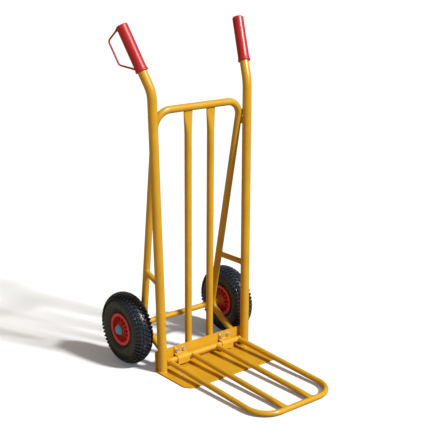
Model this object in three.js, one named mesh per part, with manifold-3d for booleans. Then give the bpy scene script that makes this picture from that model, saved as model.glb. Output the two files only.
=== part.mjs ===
// Hand truck with a toe plate, a folding tube nose and two air-filled wheels.
// Millimetres. +Z is up, -Y is the load side, +Y is the side of the wheels and the operator.
// The origin is on the floor, under the middle of the truck's footprint.
import * as THREE from 'three';
import { mergeVertices } from 'three/addons/utils/BufferGeometryUtils.js';
import Module from 'manifold-3d';

const wasm = await Module();
wasm.setup();

// ---------- driving dimensions ----------
const GAP = 0.3;                 // between two pieces that touch
const WALL = 2;                  // wall of every frame tube

const SHEET = 4;                 // toe plate sheet
const UPRIGHT_R = 16;
const UPRIGHT_BASE_X = 186.5;    // half spacing of the uprights on the blade
const UPRIGHT_BEND_X = 203.5;    // half spacing at the bend under the grips
const UPRIGHT_BEND_Z = 979;
const UPRIGHT_LEAN = 0.010;      // backward lean, mm per mm of height
const UPRIGHT_BEND_R = 110;

const GRIP_OUT = 0.198;          // the grip runs outward and back, per mm of height
const GRIP_BACK = 0.479;
const GRIP_START_Z = 1046;
const GRIP_END_Z = 1191;
const GRIP_R = 19.7;
const GRIP_FLANGE_R = 21.8;
const GRIP_FLANGE_LENGTH = 6;
const GRIP_TOP_WALL = 6;
const GUARD_R = 3.6;             // strand of the hand guard
const GUARD_REACH = 60;          // from the grip's axis to the guard's outer run
const GUARD_TURN = 40;           // degrees from straight back towards the outside
const GUARD_TOP_DROP = 28;       // the guard's two outer corners, below the grip's tip
const GUARD_FOOT_DROP = 113;
const GUARD_CORNER_R = 14;
const GUARD_ROOT = 14;           // the guard's lower end, above the grip's lower end
const GRIP_TIP = 9;              // height of the grip's rounded tip

const HOOP_R = 12.5;
const HOOP_TOP_Z = 915;
const HOOP_CORNER_R = 57;
const HOOP_TOP_X = 183;          // half spacing of the legs at the top bar
const HOOP_AXLE_X = 157;         // half spacing of the legs at the axle
const HOOP_BEND_R = 42;
const HOOP_BEND_DROP = 6;        // the bend at the axle is this much below the axle
const BRACE_PLATE_Z = 47;        // where the leg's lower end meets the toe plate

const AXLE_Y = 154;
const AXLE_R = 10;
const WHEEL_R = 130;
const WHEEL_X = 228.5;
const TYRE_HALF_WIDTH = 41.5;
const HUB_HALF_LENGTH = 30;
const BEAD_R = 52;               // where the tyre sits on the rim
const RIM_FLANGE_R = 58.5;
const RIM_HALF_WIDTH = 30;
const HUB_R = 21;
const BEARING_R = 14.5;
const BEARING_WIDTH = 12;
const DISC_HALF = 5;             // half the thickness of the rim's disc
const RIB_COUNT = 12;
const RIB_THICKNESS = 3;
const TYRE_WALL = 6;
const TUBE_SECTION_R = 31.5;     // the inner tube's round section
const TUBE_WALL = 2.5;
const VALVE_R = 4;
const RUNNING_FIT = 0.4;         // between the axle and what turns on it
const WASHER_THICKNESS = 2.5;
const WASHER_OUTER_R = 15;
const SPACER_R = 14.5;
const CAP_R = 18.5;
const CAP_HEIGHT = 12;
const CAP_COVER = 8;             // length of axle inside the cap

const BAR_X_TOP = 48.7;
const BAR_X_FOOT = 48.2;
const BAR_FOOT_Z = 10;
const BAR_CLEARANCE = 1.2;       // extra room between the centre bars and the toe plate
const FLAT_TAPER = 35;           // length of the part pressed flat, from the tube's end

const STRUT_R = 10;
const STRUT_LEG_Z = 334;
const STRUT_UPRIGHT_Z = 320;

const PLATE_HALF_WIDTH = 206;
const PLATE_HEIGHT = 74;
const PLATE_FACE_Y = UPRIGHT_R + GAP;
const BLADE_FRONT_Y = -171.5;
const BLADE_CORNER_R = 36;
const PLATE_BEND_R = 7;
const PLATE_CORNER_R = 5;

const HINGE_Y = 2.6;
const HINGE_Z = 32.6;
const NOSE_R = 9.5;
const HINGE_R = 10;
const HINGE_HALF_LENGTH = 168.5;
const NOSE_ARM_X = 160;
const NOSE_BAR_X = 56.8;
const NOSE_FRONT_Y = -494;
const NOSE_FRONT_Z = 10;
const NOSE_CORNER_R = 75;

const CLIP_X = 101;
const CLIP_WIDTH = 50;
const CLIP_SHEET = 3;
const CLIP_TOP_Z = 71;
const CLIP_END_Z = 14;           // the strap's lower edge, clear of the blade
const BOLT_SPACING = 31;
const BOLT_Z = 59;
const BOLT_R = 4;
const BOLT_HEAD_R = 7.5;
const BOLT_HEAD_HEIGHT = 5.3;
const BOLT_LENGTH = 15;
const NUT_HEIGHT = 6.5;

// ---------- derived positions ----------
const PLATE_REAR_Y = PLATE_FACE_Y + SHEET;
const BAR_FOOT_Y = PLATE_REAR_Y + GAP + HOOP_R + BAR_CLEARANCE;
const HUB_OUTER_X = WHEEL_X + HUB_HALF_LENGTH;
const HUB_INNER_X = WHEEL_X - HUB_HALF_LENGTH;
const AXLE_HALF_LENGTH = HUB_OUTER_X + GAP + WASHER_THICKNESS + CAP_COVER;
const NOSE_FRONT_EDGE = NOSE_FRONT_Y - NOSE_R;
const REAR_EDGE = AXLE_Y + WHEEL_R;
const FOOTPRINT_MIDDLE_Y = (NOSE_FRONT_EDGE + REAR_EDGE) / 2;

// ---------- materials ----------
function material(colour, roughness, metalness) {
  return new THREE.MeshStandardMaterial({ color: colour, roughness, metalness });
}
const yellowPaint = material(0xe2a22b, 0.35, 0.1);
const redPlastic = material(0xc0262c, 0.25, 0);
const rimPlastic = material(0xb0262a, 0.4, 0);
const bluePlastic = material(0x6fa9c0, 0.45, 0);
const zinc = material(0xb9bcc0, 0.35, 0.9);
const tyreRubber = material(0x2b2d2f, 0.85, 0);
const tubeRubber = material(0x1d1d1e, 0.7, 0);
const bearingSteel = material(0x9a9da1, 0.3, 1);

// ---------- solids ----------
// A line through corner points, with an arc of its own radius at each inner corner.
// Rings of an extrusion stand only at the ends of the straights and along the arcs.
class BentLine extends THREE.Curve {
  constructor(corners, radii, arcSteps) {
    super();
    this.samples = [{ point: corners[0].clone(), tangent: direction(corners[0], corners[1]) }];
    for (let i = 1; i < corners.length - 1; i += 1) {
      this.addArc(corners[i - 1], corners[i], corners[i + 1], radii[i - 1], arcSteps);
    }
    const last = corners.length - 1;
    this.samples.push({ point: corners[last].clone(), tangent: direction(corners[last - 1], corners[last]) });
  }

  addArc(before, corner, after, radius, arcSteps) {
    const incoming = direction(before, corner);
    const outgoing = direction(corner, after);
    const turn = incoming.angleTo(outgoing);
    const trim = radius * Math.tan(turn / 2);
    const start = corner.clone().addScaledVector(incoming, -trim);
    const side = outgoing.clone().addScaledVector(incoming, -incoming.dot(outgoing)).normalize();
    const centre = start.clone().addScaledVector(side, radius);
    for (let i = 0; i <= arcSteps; i += 1) {
      const angle = (turn * i) / arcSteps;
      const point = centre.clone()
        .addScaledVector(side, -radius * Math.cos(angle))
        .addScaledVector(incoming, radius * Math.sin(angle));
      const tangent = incoming.clone().multiplyScalar(Math.cos(angle))
        .addScaledVector(side, Math.sin(angle));
      this.samples.push({ point, tangent });
    }
  }

  get steps() {
    return this.samples.length - 1;
  }

  sampleAt(u) {
    return this.samples[Math.round(u * this.steps)];
  }

  getPoint(u, target = new THREE.Vector3()) {
    return target.copy(this.sampleAt(u).point);
  }

  getPointAt(u, target) {
    return this.getPoint(u, target);
  }

  getTangent(u, target = new THREE.Vector3()) {
    return target.copy(this.sampleAt(u).tangent);
  }

  getTangentAt(u, target) {
    return this.getTangent(u, target);
  }
}

function direction(from, to) {
  return to.clone().sub(from).normalize();
}

function point(x, y, z) {
  return new THREE.Vector3(x, y, z);
}

function ringShape(outerR, innerR) {
  const shape = new THREE.Shape();
  shape.absarc(0, 0, outerR, 0, 2 * Math.PI);
  if (innerR > 0) {
    const hole = new THREE.Path();
    hole.absarc(0, 0, innerR, 0, 2 * Math.PI);
    shape.holes.push(hole);
  }
  return shape;
}

// A round tube, or a round bar when the wall is 0, along a bent line.
function tubeGeometry(corners, radii, outerR, wall = WALL, sides = 16, arcSteps = 5) {
  const line = new BentLine(corners, radii, arcSteps);
  const innerR = wall > 0 ? outerR - wall : 0;
  return new THREE.ExtrudeGeometry(ringShape(outerR, innerR), {
    steps: line.steps,
    extrudePath: line,
    curveSegments: sides / 2,
    bevelEnabled: false,
  });
}

// A flat washer, ring or disc along Y, from y = 0 to y = height.
function ringGeometry(outerR, innerR, height, sides = 16) {
  const corners = [[innerR, 0], [outerR, 0], [outerR, height], [innerR, height], [innerR, 0]];
  return lathe(corners, sides);
}

// Turns a closed profile of [radius, height] points about Y, whichever way round it is drawn.
function lathe(points, sides) {
  const profile = points.map(([radius, height]) => new THREE.Vector2(radius, height));
  if (THREE.ShapeUtils.area(profile) < 0) profile.reverse();
  return new THREE.LatheGeometry(profile, sides);
}

function solid(geometry) {
  const bare = geometry.clone();
  bare.deleteAttribute('normal');
  bare.deleteAttribute('uv');
  const merged = mergeVertices(bare, 1e-4);
  return new wasm.Manifold(new wasm.Mesh({
    numProp: 3,
    vertProperties: new Float32Array(merged.attributes.position.array),
    triVerts: new Uint32Array(merged.index.array),
  }));
}

function geometryOf(manifold) {
  const mesh = manifold.getMesh();
  const geometry = new THREE.BufferGeometry();
  geometry.setAttribute('position', new THREE.BufferAttribute(mesh.vertProperties, 3));
  geometry.setIndex(new THREE.BufferAttribute(mesh.triVerts, 1));
  geometry.computeVertexNormals();
  return geometry;
}

function cut(geometry, ...tools) {
  let body = solid(geometry);
  for (const tool of tools) body = body.subtract(solid(tool));
  return geometryOf(body);
}

function join(geometry, ...others) {
  let body = solid(geometry);
  for (const other of others) body = body.add(solid(other));
  return geometryOf(body);
}

// A straight round cutter between two points.
function cutter(from, to, radius) {
  return tubeGeometry([from, to], [], radius, 0, 24);
}

// Squeezes the end ring of a straight tube to a flat strip, wide along X and thin along thinAxis.
function flattenEnd(geometry, isEnd, centre, wide, thin, thinAxis) {
  const position = geometry.attributes.position;
  const vertex = new THREE.Vector3();
  for (let i = 0; i < position.count; i += 1) {
    vertex.fromBufferAttribute(position, i);
    if (isEnd(vertex)) {
      vertex.x = centre.x + (vertex.x - centre.x) * wide;
      vertex[thinAxis] = centre[thinAxis] + (vertex[thinAxis] - centre[thinAxis]) * thin;
      position.setXYZ(i, vertex.x, vertex.y, vertex.z);
    }
  }
  return geometry;
}

// ---------- scene graph ----------
const truck = new THREE.Group();
truck.position.y = -FOOTPRINT_MIDDLE_Y;

function addMesh(parent, name, geometry, look) {
  const mesh = new THREE.Mesh(geometry, look);
  mesh.name = name;
  parent.add(mesh);
  return mesh;
}

const SIDES = [['left', -1], ['right', 1]];

// ---------- uprights and grips ----------
function uprightX(z) {
  return UPRIGHT_BASE_X + ((UPRIGHT_BEND_X - UPRIGHT_BASE_X) * z) / UPRIGHT_BEND_Z;
}

function uprightY(z) {
  return UPRIGHT_LEAN * z;
}

function gripPoint(side, z) {
  const above = z - UPRIGHT_BEND_Z;
  return point(
    side * (UPRIGHT_BEND_X + GRIP_OUT * above),
    uprightY(UPRIGHT_BEND_Z) + GRIP_BACK * above,
    z,
  );
}

function upright(side) {
  const foot = SHEET + GAP;
  const corners = [
    point(side * uprightX(foot), uprightY(foot), foot),
    point(side * UPRIGHT_BEND_X, uprightY(UPRIGHT_BEND_Z), UPRIGHT_BEND_Z),
    gripPoint(side, GRIP_END_Z - GRIP_TOP_WALL - 2),
  ];
  const tube = tubeGeometry(corners, [UPRIGHT_BEND_R], UPRIGHT_R, WALL, 20, 5);
  const floorCut = new THREE.BoxGeometry(100, 100, 20);
  floorCut.translate(side * UPRIGHT_BASE_X, 0, foot - 10 + GAP);
  const plateCut = new THREE.BoxGeometry(100, 20, 80);
  plateCut.translate(side * UPRIGHT_BASE_X, PLATE_FACE_Y - GAP + 10, PLATE_HEIGHT - 38);
  // The heel is chamfered to clear the inside of the sheet's bend.
  const heel = (PLATE_BEND_R - SHEET + 2 * GAP) * Math.SQRT2;
  const heelCut = new THREE.BoxGeometry(100, heel, heel);
  heelCut.rotateX(Math.PI / 4);
  heelCut.translate(side * UPRIGHT_BASE_X, PLATE_FACE_Y, SHEET);
  return cut(tube, floorCut, plateCut, heelCut);
}

// The grip stands on its own axis: local +Y runs up the tube.
function grip() {
  const length = gripPoint(1, GRIP_START_Z).distanceTo(gripPoint(1, GRIP_END_Z));
  const bore = UPRIGHT_R + GAP;
  const sleeve = lathe([
    [bore, 0],
    [GRIP_FLANGE_R, 0],
    [GRIP_FLANGE_R, GRIP_FLANGE_LENGTH - 1.5],
    [GRIP_R, GRIP_FLANGE_LENGTH + 1],
    [GRIP_R, length - GRIP_TIP],
    [GRIP_R * 0.92, length - GRIP_TIP * 0.45],
    [GRIP_R * 0.72, length - GRIP_TIP * 0.12],
    [0, length],
    [0, length - GRIP_TOP_WALL],
    [bore, length - GRIP_TOP_WALL],
    [bore, 0],
  ], 20);
  const guard = tubeGeometry([
    point(GRIP_R - 2, length - GRIP_TIP + 1, 0),
    point(GUARD_REACH, length - GUARD_TOP_DROP, 0),
    point(GUARD_REACH, length - GUARD_FOOT_DROP, 0),
    point(GRIP_R - 1, GUARD_ROOT, 0),
  ], [GUARD_CORNER_R, GUARD_CORNER_R], GUARD_R, 0, 8, 3);
  return join(sleeve, guard);
}

function gripFrame(side) {
  const up = direction(gripPoint(side, GRIP_START_Z), gripPoint(side, GRIP_END_Z));
  const turn = THREE.MathUtils.degToRad(GUARD_TURN);
  const reach = point(side * Math.sin(turn), Math.cos(turn), 0);
  reach.addScaledVector(up, -reach.dot(up)).normalize();
  const across = new THREE.Vector3().crossVectors(reach, up);
  const frame = new THREE.Matrix4().makeBasis(reach, up, across);
  return frame.setPosition(gripPoint(side, GRIP_START_Z));
}

for (const [name, side] of SIDES) {
  addMesh(truck, `${name}_upright`, upright(side), yellowPaint);
  const sleeve = addMesh(truck, `${name}_grip`, grip(), redPlastic);
  gripFrame(side).decompose(sleeve.position, sleeve.quaternion, sleeve.scale);
}

// ---------- rear hoop: top bar, two legs and the braces at their lower ends ----------
// The legs just touch the uprights under the top corners.
const LEG_SLOPE_X = (HOOP_TOP_X - HOOP_AXLE_X) / (HOOP_TOP_Z - WHEEL_R);

function hoopTopY() {
  const touchZ = HOOP_TOP_Z - HOOP_CORNER_R;
  const across = uprightX(touchZ) - (HOOP_TOP_X - LEG_SLOPE_X * HOOP_CORNER_R);
  const reach = UPRIGHT_R + HOOP_R + 4 * GAP;
  const behind = uprightY(touchZ) + Math.sqrt(reach * reach - across * across);
  const share = HOOP_CORNER_R / (HOOP_TOP_Z - WHEEL_R);
  return (behind - AXLE_Y * share) / (1 - share);
}
const HOOP_TOP_Y = hoopTopY();
const LEG_SLOPE_Y = (AXLE_Y - HOOP_TOP_Y) / (HOOP_TOP_Z - WHEEL_R);

function legPoint(side, z) {
  const below = HOOP_TOP_Z - z;
  return point(side * (HOOP_TOP_X - LEG_SLOPE_X * below), HOOP_TOP_Y + LEG_SLOPE_Y * below, z);
}

// Direction of a leg's lower run, from the toe plate up to the bend.
function braceRun(side) {
  return direction(point(side * HOOP_AXLE_X, PLATE_REAR_Y, BRACE_PLATE_Z), legPoint(side, WHEEL_R - HOOP_BEND_DROP));
}

function rearHoop() {
  const corners = [];
  for (const side of [-1, 1]) {
    const arm = [
      point(side * HOOP_AXLE_X, PLATE_REAR_Y, BRACE_PLATE_Z).addScaledVector(braceRun(side), -9),
      legPoint(side, WHEEL_R - HOOP_BEND_DROP),
      legPoint(side, HOOP_TOP_Z),
    ];
    if (side > 0) arm.reverse();
    corners.push(...arm);
  }
  const radii = [HOOP_BEND_R, HOOP_CORNER_R, HOOP_CORNER_R, HOOP_BEND_R];
  const tube = tubeGeometry(corners, radii, HOOP_R, WALL, 14, 5);
  const axleHole = cutter(point(-300, AXLE_Y, WHEEL_R), point(300, AXLE_Y, WHEEL_R), AXLE_R + 2 * GAP);
  const plateCut = new THREE.BoxGeometry(600, 60, 120);
  plateCut.translate(0, PLATE_REAR_Y + GAP - 30, 60);
  return cut(tube, axleHole, plateCut);
}
addMesh(truck, 'rear_hoop', rearHoop(), yellowPaint);

// ---------- centre bars: tubes pressed flat where they meet the top bar ----------
function centreBar(side) {
  const foot = point(side * BAR_X_FOOT, BAR_FOOT_Y, BAR_FOOT_Z);
  const topZ = HOOP_TOP_Z - HOOP_R - GAP;
  const top = point(side * BAR_X_TOP, HOOP_TOP_Y, topZ);
  const corners = [foot, top];
  const line = (share) => foot.clone().lerp(top, share);
  const length = foot.distanceTo(top);
  corners.splice(1, 0, line(1 - 55 / length), line(1 - 22 / length));
  const bar = tubeGeometry(corners, [1, 1], HOOP_R, WALL, 16, 1);
  return flattenEnd(bar, (v) => v.z > topZ - FLAT_TAPER, line(1 - 10 / length), 1.22, 0.42, 'y');
}

// ---------- struts between the legs and the uprights ----------
function strut(side) {
  const legEnd = legPoint(side, STRUT_LEG_Z);
  const z = STRUT_UPRIGHT_Z;
  const uprightEnd = point(side * uprightX(z), uprightY(z), z);
  const tube = tubeGeometry([legEnd, uprightEnd], [], STRUT_R, WALL, 16);
  const reach = 60;
  const legCut = cutter(
    legPoint(side, STRUT_LEG_Z - reach),
    legPoint(side, STRUT_LEG_Z + reach),
    HOOP_R + 2 * GAP,
  );
  const uprightCut = cutter(
    point(side * uprightX(z - reach), uprightY(z - reach), z - reach),
    point(side * uprightX(z + reach), uprightY(z + reach), z + reach),
    UPRIGHT_R + 2 * GAP,
  );
  return cut(tube, legCut, uprightCut);
}

for (const [name, side] of SIDES) {
  addMesh(truck, `${name}_centre_bar`, centreBar(side), yellowPaint);
  addMesh(truck, `${name}_strut`, strut(side), yellowPaint);
}

// ---------- toe plate: one bent sheet, blade and upstand ----------
function toePlate() {
  const w = PLATE_HALF_WIDTH;
  const plan = new THREE.Shape();
  plan.moveTo(-w, PLATE_REAR_Y - PLATE_BEND_R);
  plan.lineTo(-w, BLADE_FRONT_Y + BLADE_CORNER_R);
  plan.absarc(-w + BLADE_CORNER_R, BLADE_FRONT_Y + BLADE_CORNER_R, BLADE_CORNER_R, Math.PI, 1.5 * Math.PI);
  plan.absarc(w - BLADE_CORNER_R, BLADE_FRONT_Y + BLADE_CORNER_R, BLADE_CORNER_R, -0.5 * Math.PI, 0);
  plan.lineTo(w, PLATE_REAR_Y - PLATE_BEND_R);
  plan.closePath();
  const blade = new THREE.ExtrudeGeometry(plan, { depth: SHEET, bevelEnabled: false, curveSegments: 8 });

  const bend = new THREE.Shape();
  const bendY = PLATE_REAR_Y - PLATE_BEND_R;
  bend.moveTo(bendY - 3, 0);
  bend.lineTo(bendY, 0);
  bend.absarc(bendY, PLATE_BEND_R, PLATE_BEND_R, -0.5 * Math.PI, 0);
  bend.lineTo(PLATE_REAR_Y, PLATE_HEIGHT);
  bend.lineTo(PLATE_FACE_Y, PLATE_HEIGHT);
  bend.lineTo(PLATE_FACE_Y, PLATE_BEND_R);
  bend.absarc(bendY, PLATE_BEND_R, PLATE_BEND_R - SHEET, 0, -0.5 * Math.PI, true);
  bend.lineTo(bendY - 3, SHEET);
  bend.closePath();
  const upstand = new THREE.ExtrudeGeometry(bend, { depth: 2 * w, bevelEnabled: false, curveSegments: 6 });
  // The profile's x and y become Y and Z; its depth runs along X.
  upstand.applyMatrix4(new THREE.Matrix4().makeBasis(point(0, 1, 0), point(0, 0, 1), point(1, 0, 0)));
  upstand.translate(-w, 0, 0);

  const tools = [];
  for (const clipSide of [-1, 1]) {
    for (const boltSide of [-1, 1]) tools.push(boltCutter(boltX(clipSide, boltSide)));
    tools.push(cornerCutter(clipSide));
  }
  return cut(join(blade, upstand), ...tools);
}

function boltX(clipSide, boltSide) {
  return clipSide * CLIP_X + (boltSide * BOLT_SPACING) / 2;
}

function boltCutter(x) {
  return cutter(point(x, -10, BOLT_Z), point(x, 40, BOLT_Z), BOLT_R + 2 * GAP);
}

// Takes the sharp top corner off the upstand.
function cornerCutter(side) {
  const size = PLATE_CORNER_R * 2;
  const wedge = new THREE.BoxGeometry(size, 30, size);
  wedge.rotateY(Math.PI / 4);
  wedge.translate(side * (PLATE_HALF_WIDTH + 2), PLATE_REAR_Y, PLATE_HEIGHT + 2);
  return wedge;
}
addMesh(truck, 'toe_plate', toePlate(), yellowPaint);

// ---------- hinge clips and their bolts ----------
// A strap: flat against the upstand, then over the hinge tube and down in front of it.
function clip() {
  const half = CLIP_SHEET / 2;
  const flatY = PLATE_FACE_Y - GAP - half;
  const wrapR = HINGE_R + 2 * GAP + half;
  const line = [[flatY, CLIP_TOP_Z]];
  const leaveZ = HINGE_Z + wrapR + 1.5;
  line.push([flatY, leaveZ + 2]);
  line.push([flatY - 3, leaveZ]);
  for (let degrees = 75; degrees <= 180; degrees += 15) {
    const angle = THREE.MathUtils.degToRad(degrees);
    line.push([HINGE_Y + wrapR * Math.cos(angle), HINGE_Z + wrapR * Math.sin(angle)]);
  }
  line.push([HINGE_Y - wrapR + 0.5, CLIP_END_Z]);
  return extrudeStrap(line, CLIP_SHEET, CLIP_WIDTH);
}

function extrudeStrap(line, thickness, width) {
  const left = [];
  const right = [];
  for (let i = 0; i < line.length; i += 1) {
    const before = new THREE.Vector2(...line[Math.max(i - 1, 0)]);
    const here = new THREE.Vector2(...line[i]);
    const after = new THREE.Vector2(...line[Math.min(i + 1, line.length - 1)]);
    const into = i > 0 ? here.clone().sub(before).normalize() : after.clone().sub(here).normalize();
    const out = i < line.length - 1 ? after.clone().sub(here).normalize() : into;
    const mean = into.clone().add(out).normalize();
    const widen = thickness / 2 / Math.max(mean.dot(into), 0.5);
    left.push(new THREE.Vector2(here.x - mean.y * widen, here.y + mean.x * widen));
    right.push(new THREE.Vector2(here.x + mean.y * widen, here.y - mean.x * widen));
  }
  const outline = new THREE.Shape([...left, ...right.reverse()]);
  const strap = new THREE.ExtrudeGeometry(outline, { depth: width, bevelEnabled: false });
  strap.applyMatrix4(new THREE.Matrix4().makeBasis(point(0, 1, 0), point(0, 0, 1), point(1, 0, 0)));
  strap.translate(-width / 2, 0, 0);
  return strap;
}

function bolt() {
  const head = new THREE.CylinderGeometry(BOLT_HEAD_R, BOLT_HEAD_R, BOLT_HEAD_HEIGHT, 6);
  head.translate(0, BOLT_HEAD_HEIGHT / 2, 0);
  const shank = new THREE.CylinderGeometry(BOLT_R, BOLT_R, BOLT_LENGTH, 12);
  shank.translate(0, BOLT_HEAD_HEIGHT / 2 - BOLT_LENGTH / 2, 0);
  return join(head, shank);
}

function nut() {
  const hexagon = new THREE.CylinderGeometry(BOLT_HEAD_R, BOLT_HEAD_R, NUT_HEIGHT, 6);
  const hole = new THREE.CylinderGeometry(BOLT_R + GAP, BOLT_R + GAP, NUT_HEIGHT + 4, 12);
  return cut(hexagon, hole);
}

for (const [name, side] of SIDES) {
  const strap = clip();
  strap.translate(side * CLIP_X, 0, 0);
  const holes = [boltCutter(boltX(side, -1)), boltCutter(boltX(side, 1))];
  addMesh(truck, `${name}_hinge_clip`, cut(strap, ...holes), yellowPaint);
  for (const [place, boltSide] of [['inner', -side], ['outer', side]]) {
    const headY = PLATE_FACE_Y - GAP - CLIP_SHEET - GAP;
    const hexBolt = addMesh(truck, `${name}_${place}_hinge_bolt`, bolt(), zinc);
    hexBolt.rotation.x = Math.PI;
    hexBolt.position.set(boltX(side, boltSide), headY, BOLT_Z);
    const hexNut = addMesh(truck, `${name}_${place}_hinge_nut`, nut(), zinc);
    hexNut.position.set(boltX(side, boltSide), PLATE_REAR_Y + GAP + NUT_HEIGHT / 2, BOLT_Z);
  }
}

// ---------- folding nose ----------
const nose = new THREE.Group();
nose.position.set(0, HINGE_Y, HINGE_Z);
truck.add(nose);

// The nose's own frame has its origin on the hinge axis.
const FRONT_Y = NOSE_FRONT_Y - HINGE_Y;
const FRONT_Z = NOSE_FRONT_Z - HINGE_Z;
const hingeCutter = () => cutter(point(-300, 0, 0), point(300, 0, 0), HINGE_R + 2 * GAP);

function hingeTube() {
  const from = point(-HINGE_HALF_LENGTH, 0, 0);
  const to = point(HINGE_HALF_LENGTH, 0, 0);
  return tubeGeometry([from, to], [], HINGE_R, WALL, 20);
}

function noseHoop() {
  const corners = [
    point(-NOSE_ARM_X, 0, 0),
    point(-NOSE_ARM_X, FRONT_Y, FRONT_Z),
    point(NOSE_ARM_X, FRONT_Y, FRONT_Z),
    point(NOSE_ARM_X, 0, 0),
  ];
  const tube = tubeGeometry(corners, [NOSE_CORNER_R, NOSE_CORNER_R], NOSE_R, WALL, 14, 5);
  return cut(tube, hingeCutter());
}

function noseBar(side) {
  const x = side * NOSE_BAR_X;
  const start = point(x, 0, 0);
  const front = point(x, FRONT_Y, FRONT_Z);
  const length = start.distanceTo(front);
  const along = (reach) => start.clone().lerp(front, reach / length);
  const end = along(length - NOSE_R - GAP);
  const corners = [start, along(length - NOSE_R - 45), along(length - NOSE_R - 20), end];
  const bar = tubeGeometry(corners, [1, 1], NOSE_R, WALL, 16, 1);
  const flat = flattenEnd(bar, (v) => v.y < end.y + FLAT_TAPER, along(length - NOSE_R - 10), 1.25, 0.42, 'z');
  return cut(flat, hingeCutter());
}

addMesh(nose, 'hinge_tube', hingeTube(), yellowPaint);
addMesh(nose, 'nose_hoop', noseHoop(), yellowPaint);
for (const [name, side] of SIDES) addMesh(nose, `${name}_nose_bar`, noseBar(side), yellowPaint);

// ---------- axle, spacers and wheels ----------
function axle() {
  const from = point(-AXLE_HALF_LENGTH, AXLE_Y, WHEEL_R);
  return tubeGeometry([from, point(AXLE_HALF_LENGTH, AXLE_Y, WHEEL_R)], [], AXLE_R, 0, 20);
}
addMesh(truck, 'axle', axle(), yellowPaint);

// Everything of a wheel is turned about local +Y, which points away from the truck.
const WHEEL_SIDES = 36;
const SECTION_MIDDLE_R = WHEEL_R - TYRE_HALF_WIDTH;

function tyre() {
  const arc = (radius, from, to, steps) => {
    const points = [];
    for (let i = 0; i <= steps; i += 1) {
      const angle = THREE.MathUtils.degToRad(from + ((to - from) * i) / steps);
      points.push([SECTION_MIDDLE_R + radius * Math.sin(angle), radius * Math.cos(angle)]);
    }
    return points;
  };
  const seat = BEAD_R + GAP;
  const bead = [[seat + 8.2, 26.8], [seat, 25.3], [seat, 18], [seat + 7.7, 20]];
  const farBead = bead.map(([radius, height]) => [radius, -height]).reverse();
  const outside = arc(TYRE_HALF_WIDTH, 216, -36, 10);
  const inside = arc(TYRE_HALF_WIDTH - TYRE_WALL, -44, 224, 6);
  return lathe([...outside, ...bead, ...inside, ...farBead, outside[0]], WHEEL_SIDES);
}

function innerTube() {
  const section = (radius) => {
    const points = [];
    for (let degrees = 0; degrees <= 360; degrees += 40) {
      const angle = THREE.MathUtils.degToRad(degrees);
      points.push([SECTION_MIDDLE_R + radius * Math.sin(angle), radius * Math.cos(angle)]);
    }
    return points;
  };
  const outer = lathe(section(TUBE_SECTION_R), 28);
  const inner = lathe(section(TUBE_SECTION_R - TUBE_WALL), 28);
  const valveHole = new THREE.CylinderGeometry(VALVE_R + GAP, VALVE_R + GAP, 20, 12);
  valveHole.rotateX(Math.PI / 2);
  valveHole.translate(0, 0, SECTION_MIDDLE_R - TUBE_SECTION_R);
  return cut(outer, inner, valveHole);
}

function rim() {
  const floor = BEAD_R - 4;
  const barrel = lathe([
    [floor - 4, -RIM_HALF_WIDTH],
    [RIM_FLANGE_R, -RIM_HALF_WIDTH],
    [RIM_FLANGE_R, -RIM_HALF_WIDTH + 3],
    [BEAD_R - 1, -RIM_HALF_WIDTH + 4],
    [floor, -8],
    [floor, 8],
    [BEAD_R - 1, RIM_HALF_WIDTH - 4],
    [RIM_FLANGE_R, RIM_HALF_WIDTH - 3],
    [RIM_FLANGE_R, RIM_HALF_WIDTH],
    [floor - 4, RIM_HALF_WIDTH],
    [floor - 4, -RIM_HALF_WIDTH],
  ], WHEEL_SIDES);
  const disc = ringGeometry(floor - 1, HUB_R - 1, 2 * DISC_HALF, WHEEL_SIDES);
  disc.translate(0, -DISC_HALF, 0);
  const hub = ringGeometry(HUB_R, AXLE_R + 2, 2 * HUB_HALF_LENGTH, 24);
  hub.translate(0, -HUB_HALF_LENGTH, 0);
  const ribs = [];
  for (let i = 0; i < RIB_COUNT; i += 1) {
    const rib = new THREE.BoxGeometry(floor - HUB_R - 1, 2 * (RIM_HALF_WIDTH - 9), RIB_THICKNESS);
    rib.translate((floor + HUB_R) / 2 - 1, 0, 0);
    rib.rotateY((2 * Math.PI * (i + 0.5)) / RIB_COUNT);
    ribs.push(rib);
  }
  const pockets = [-1, 1].map((end) => {
    const pocket = new THREE.CylinderGeometry(BEARING_R + 2 * GAP, BEARING_R + 2 * GAP, BEARING_WIDTH + 1, 24);
    pocket.translate(0, end * (HUB_HALF_LENGTH - (BEARING_WIDTH + 1) / 2 + 0.5), 0);
    return pocket;
  });
  const valveHole = new THREE.CylinderGeometry(VALVE_R + 2 * GAP, VALVE_R + 2 * GAP, 30, 12);
  valveHole.rotateX(Math.PI / 2);
  valveHole.translate(0, 0, floor);
  const room = new THREE.CylinderGeometry(7, 7, 2 * DISC_HALF + 2, 12);
  room.translate(0, 0, floor - 14);
  return cut(join(barrel, disc, hub, ...ribs), ...pockets, valveHole, room);
}

// The valve: a short stem through the rim's floor, hollow, open at both ends.
function valveStem() {
  const start = SECTION_MIDDLE_R - TUBE_SECTION_R + 3.5;
  const end = BEAD_R - 20;
  return tubeGeometry([point(0, 0, end), point(0, 0, start)], [], VALVE_R, 2.4, 12);
}

function bearing() {
  return ringGeometry(BEARING_R, AXLE_R + RUNNING_FIT, BEARING_WIDTH);
}

// A domed cap pushed over the axle's end.
function axleCap() {
  const bore = AXLE_R + GAP;
  const depth = CAP_COVER + 2 * GAP;
  return lathe([
    [bore, 0],
    [CAP_R, 0],
    [CAP_R, CAP_HEIGHT * 0.25],
    [CAP_R * 0.87, CAP_HEIGHT * 0.58],
    [CAP_R * 0.64, CAP_HEIGHT * 0.87],
    [0, CAP_HEIGHT],
    [0, depth],
    [bore, depth],
    [bore, 0],
  ], 24);
}

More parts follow.
